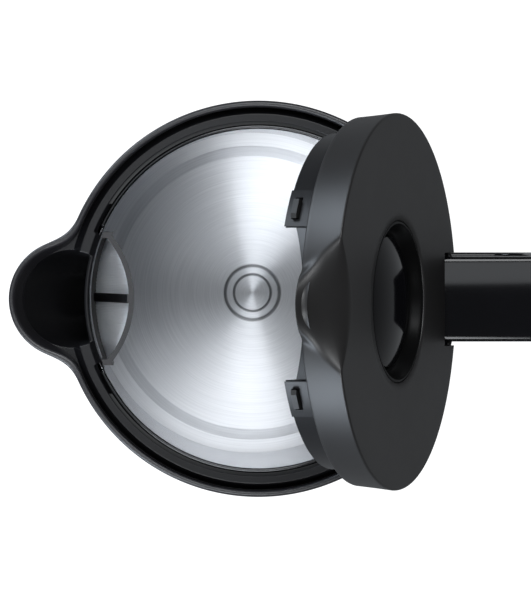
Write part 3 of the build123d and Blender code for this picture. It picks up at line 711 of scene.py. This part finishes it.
def soften_creases(outline):
    """Average each point with its neighbours near the beak's two creases, most at the crease."""
    count = len(outline)
    index = np.arange(count)
    weight = np.zeros(count)
    for crease in (0, BEAK_POINTS - 1):
        away = np.abs((index - crease + count // 2) % count - count // 2)
        weight = np.maximum(weight, 0.5 * np.clip(1 - away / 9, 0, 1))
    for _ in range(14):
        mean = (np.roll(outline, 1, axis=0) + np.roll(outline, -1, axis=0)) / 2
        outline = outline + (mean - outline) * weight[:, None]
    return outline


def cover_surface():
    """The cover as one section carried round its plan: up the wall on straight lines from the lower
    outline to the upper one, over a curve that is tight at the wall and long at the beak, and
    across the flat top to the recess."""
    low = soften_creases(cover_outline(*COVER_LOW))
    high = soften_creases(cover_outline(*COVER_HIGH))
    recess = recess_outline()
    count = len(low)

    def at(plan, z):
        return np.concatenate([plan, np.broadcast_to(z, (count,))[:, None]], axis=-1)

    inward = recess - low
    inward /= np.linalg.norm(inward, axis=-1, keepdims=True)
    across = recess - high
    length = np.linalg.norm(across, axis=-1, keepdims=True)
    across = across / length
    wide = np.zeros(count)
    wide[:BEAK_POINTS] = (1 - np.linspace(-1, 1, BEAK_POINTS) ** 2) ** 1.5
    bottom = at(low, LID_EDGE)
    top = at(high, LID_TOP)
    down = (bottom - top) / np.linalg.norm(bottom - top, axis=-1, keepdims=True)
    start = top + down * (EDGE_TURN + BEAK_DOWN * wide)[:, None]
    into = (EDGE_TURN + BEAK_IN * wide)[:, None]
    end = top + at(across * into, 0.0)
    rows = [at(low + inward * LID_WALL, LID_EDGE + SKIRT), at(low + inward * LID_WALL, LID_EDGE),
            at(low + inward * 0.0005, LID_EDGE), at(low + inward * 0.0001, LID_EDGE + 0.0001)]
    foot = bottom - down * 0.0005
    for t in np.linspace(0, 1, 14)[:-1]:
        rows.append(foot + (start - foot) * t)
    for u in np.linspace(0, 1, 15):
        rows.append((1 - u) ** 2 * start + 2 * u * (1 - u) * top + u ** 2 * end)
    lip = at(recess * (1 + 0.0001 / RECESS_R), LID_TOP)
    for t in np.linspace(0, 1, 12)[1:]:
        rows.append(end + (lip - end) * t)
    rows.append(at(recess, LID_TOP - 0.0001))
    rows.append(at(recess, LID_TOP - 0.0020))
    return ring_mesh("cover_skin", place_on_lid(np.array(rows)))


def bezel_surface():
    """The well round the button, turned from one outline: level with the cover at its edge, then an
    S-curve down to a straight bore."""
    u = np.linspace(0, 1, 18)
    radius = np.concatenate([[0.0299, 0.0299], 0.0288 - 0.0034 * u, [0.0246, 0.0244, 0.0244]])
    fall = 0.0049 * smooth_step(u, 0.0, 1.0) ** 0.8
    height = np.concatenate([[0.0085, LID_TOP - 0.0003], LID_TOP - 0.0001 - fall,
                             [0.0050, 0.0047, -0.0005]])
    turn = np.linspace(0, 2 * math.pi, 160, endpoint=False)
    points = np.stack([radius[:, None] * np.cos(turn), -radius[:, None] * np.sin(turn),
                       height[:, None] + 0 * turn], axis=-1)
    return ring_mesh("bezel_skin", place_on_lid(points))


# ---------------------------------------------------------------- filter's woven wire

FILTER_C_X = -0.0855     # the top arc's centre and radius
FILTER_ARC_R = 0.0368
FILTER_TOP_Z = 0.1902
WALL_ARC_R = 0.0619     # the lower arc lies on the pot's wall
FILTER_LOW_Z = 0.1528
MESH_HALF = 0.0232
MESH_DOWN = 0.040       # the mesh's length from top to bottom
PITCH = 0.00062
WIRE_R = 0.00019


def filter_point(u, t):
    """The filter's ruled surface: straight lines from the top arc to the arc on the pot's wall.
    u runs from side to side and t from top to bottom."""
    y = MESH_HALF * u
    top_x = FILTER_C_X + np.sqrt(FILTER_ARC_R ** 2 - y ** 2)
    low_x = -np.sqrt(WALL_ARC_R ** 2 - y ** 2)
    x = top_x + (low_x - top_x) * t
    z = FILTER_TOP_Z + (FILTER_LOW_Z - FILTER_TOP_Z) * t
    return np.stack([x, y, z], axis=-1)


def wire_tubes(name, centres, up, radius, sides):
    """Thin tubes along rows of centres: each ring is a circle in the plane across the wire, spanned
    by up and the cross product of the wire's direction with it."""
    along = np.gradient(centres, axis=1)
    along /= np.linalg.norm(along, axis=-1, keepdims=True)
    across = np.cross(along, up)
    across /= np.linalg.norm(across, axis=-1, keepdims=True)
    lift = np.cross(across, along)
    a = np.arange(sides) * 2 * math.pi / sides
    rings = (centres[:, :, None] + radius * (across[:, :, None] * np.cos(a)[:, None]
                                             + lift[:, :, None] * np.sin(a)[:, None]))
    index = np.arange(rings[..., 0].size).reshape(rings.shape[:3])
    ends = np.concatenate([index[:, 0], index[:, -1, ::-1]]).tolist()
    return mesh_piece(name, rings.reshape(-1, 3), ring_faces(index) + ends)


def filter_weave():
    """Plain weave on the filter's surface: each wire rises and falls by a cosine as it crosses
    the others, and its neighbour does the opposite."""
    across = int(2 * MESH_HALF / PITCH)
    down = int(MESH_DOWN / PITCH)
    fine = 2            # points of a wire from one crossing to the next

    def woven(count, steps, swap):
        i = np.arange(count)[:, None]
        j = np.arange(steps * fine + 1)[None, :] / fine
        a = (i + 0.5) / count + 0 * j
        b = j / steps + 0 * i
        u, t = (2 * a - 1, b) if not swap else (2 * b - 1, a)
        base = filter_point(u, t)
        step = 1e-3
        normal = np.cross(filter_point(u + step, t) - base, filter_point(u, t + step) - base)
        normal /= np.linalg.norm(normal, axis=-1, keepdims=True)
        phase = np.cos(math.pi * (i + j + (1 if swap else 0)))
        return base + normal * (WIRE_R * 0.9 * phase)[..., None], normal

    for label, count, steps, swap in (("warp", across, down, False), ("weft", down, across, True)):
        centres, normal = woven(count, steps, swap)
        wires = wire_tubes("filter_" + label, centres, normal, WIRE_R, 4)
        wires.data.materials.append(WIRE_STEEL)
        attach(wires, "kettle_body")
        yield wires


# ---------------------------------------------------------------- coil springs on the lid

COIL_TURNS = 7


def coil(name, low, high, radius, wire):
    """A round wire on a helix from low to high, two points of the closed lid. The wire's centre
    turns at one radius while it climbs evenly."""
    axis = high - low
    side = np.cross(axis, [0, 1, 0])
    side /= np.linalg.norm(side)
    other = np.cross(axis, side)
    other /= np.linalg.norm(other)
    t = np.linspace(0, 1, COIL_TURNS * 28 + 1)[:, None]
    turn = 2 * math.pi * COIL_TURNS * t
    outward = side * np.cos(turn) + other * np.sin(turn)
    centres = place_on_lid(low + axis * t + radius * outward)
    outward = place_on_lid(outward) - place_on_lid(np.zeros(3))
    return wire_tubes(name, centres[None], outward[None], wire, sides=10)


def soft_spring(name, node, low, high, radius, wire):
    """A coil in place of the CAD one, wound from low to high on the lid."""
    low, high = np.array(low), np.array(high)
    spring = coil(name, low, high, radius, wire)
    spring.data.materials.append(BRIGHT_STEEL)
    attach(spring, "lid")
    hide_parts(node)
    start, end = place_on_lid(low), place_on_lid(high)
    tuple(map(float, start))
    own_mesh(spring)


# ---------------------------------------------------------------- floor, light and camera

def seen_or_lit(tree, seen, lit):
    """One strength for what is seen directly and another for the light that it gives."""
    path = tree.nodes.new("ShaderNodeLightPath")
    return map_range(tree, path.outputs["Is Camera Ray"], 0, 1, lit, seen)


def aim(thing, place, target):
    """Put a light or camera at place, looking at target, with its top towards +Y."""
    forward = (Vector(target) - Vector(place)).normalized()
    right = forward.cross(Vector((0, 1, 0))).normalized()
    up = right.cross(forward)
    thing.location = place
    thing.rotation_euler = Matrix((right, up, -forward)).transposed().to_euler()


def studio_floor():
    half = 6.0
    corners = half * np.array([[-1, -1, 0], [1, -1, 0], [1, 1, 0], [-1, 1, 0]])
    floor = mesh_piece("studio_floor", corners, [[0, 1, 2, 3]], smooth=False)
    material, tree, shader = new_material("pale_floor")
    shader.inputs["Base Color"].default_value = (0.17, 0.17, 0.17, 1)
    shader.inputs["Roughness"].default_value = 0.9
    shader.inputs["Emission Color"].default_value = (1, 1, 1, 1)
    tree.links.new(seen_or_lit(tree, 1.0, 0.03), shader.inputs["Emission Strength"])
    floor.data.materials.append(material)


def area_light(name, place, target, width, height, power, colour):
    data = bpy.data.lights.new(name, "AREA")
    data.shape = "RECTANGLE"
    data.size = width
    data.size_y = height
    data.energy = power
    data.color = colour
    lamp = bpy.data.objects.new(name, data)
    bpy.context.collection.objects.link(lamp)
    aim(lamp, place, target)


def studio():
    """Two strips over +Y and -Y make the pale wedges on the pot's floor, and two low softboxes on
    the spout's side light the lid's band. The rest is weak light from above."""
    world = bpy.data.worlds.new("soft_studio")
    world.use_nodes = True
    tree = world.node_tree
    background = tree.nodes["Background"]
    background.inputs["Color"].default_value = (0.93, 0.96, 1.0, 1)
    tree.links.new(seen_or_lit(tree, 0.93, 0.16), background.inputs["Strength"])
    bpy.context.scene.world = world
    body = (0, 0, 0.15)
    lid = (0, 0, 0.25)
    cool = (0.94, 0.97, 1.0)
    blue = (0.80, 0.89, 1.0)
    area_light("overhead_glow", (0.16, 0.33, 1.75), body, 1.0, 0.34, 3.6, (0.92, 0.96, 1.0))
    area_light("back_strip", (0.24, 0.90, 1.75), body, 1.0, 0.42, 16.5, (0.96, 0.98, 1.0))
    area_light("lower_strip", (-0.26, -0.95, 1.75), body, 0.9, 0.42, 18.5, cool)
    area_light("overhead_fill", (-0.32, 0.0, 1.75), body, 0.4, 0.7, 1.5, cool)
    area_light("spout_softbox", (-0.9, -1.15, 0.70), lid, 0.6, 0.7, 20.0, blue)
    area_light("rim_softbox", (-1.0, 1.1, 0.72), lid, 0.6, 0.7, 16.0, blue)


def camera():
    """A long lens far above the rim, so that near and far edges look almost the same size."""
    data = bpy.data.cameras.new("camera")
    data.sensor_fit = "AUTO"
    data.sensor_width = 36.0
    data.lens = 381.0
    data.clip_end = 20.0
    eye = bpy.data.objects.new("camera", data)
    bpy.context.collection.objects.link(eye)
    aim(eye, (-0.04, 0.04, RIM_Z + 2.4), (0.0026, -0.0004, RIM_Z))
    bpy.context.scene.camera = eye


# ---------------------------------------------------------------- the pieces on their bodies

shell = shell_surface()
shell.data.materials.append(SHELL_PLASTIC)
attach(shell, "kettle_body")
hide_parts("outer_shell")

pot = pot_surface()
pot.data.materials.append(POT_STEEL)
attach(pot, "kettle_body")
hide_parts("inner_pot")

collar = collar_surface()
collar.data.materials.append(TROUGH_SHADE_PLASTIC)
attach(collar, "kettle_body")
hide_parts("top_collar")

cover = cover_surface()
cover.data.materials.append(LID_PLASTIC)
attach(cover, "lid")
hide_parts("lid_cover")

bezel = bezel_surface()
bezel.data.materials.append(WELL_SHADE_PLASTIC)
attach(bezel, "lid")
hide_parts("button_bezel")

soft_spring("button_coil", "button_spring", low=(0.0, 0.0, -0.01155),
            high=(0.0, 0.0, 0.00755), radius=0.0036, wire=0.00024)
soft_spring("latch_coil", "latch_spring", low=(0.01132, 0.0085, -0.0101),
            high=(-0.00722, 0.0085, -0.0101), radius=0.0017, wire=0.00017)

grip = handle_surface()
grip.data.materials.append(GLOSS_PLASTIC)
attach(grip, "kettle_body")
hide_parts("handle_shell")

for wires in filter_weave():
    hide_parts("filter_mesh")

studio_floor()
studio()
camera()
bpy.context.scene.view_settings.view_transform = "Standard"
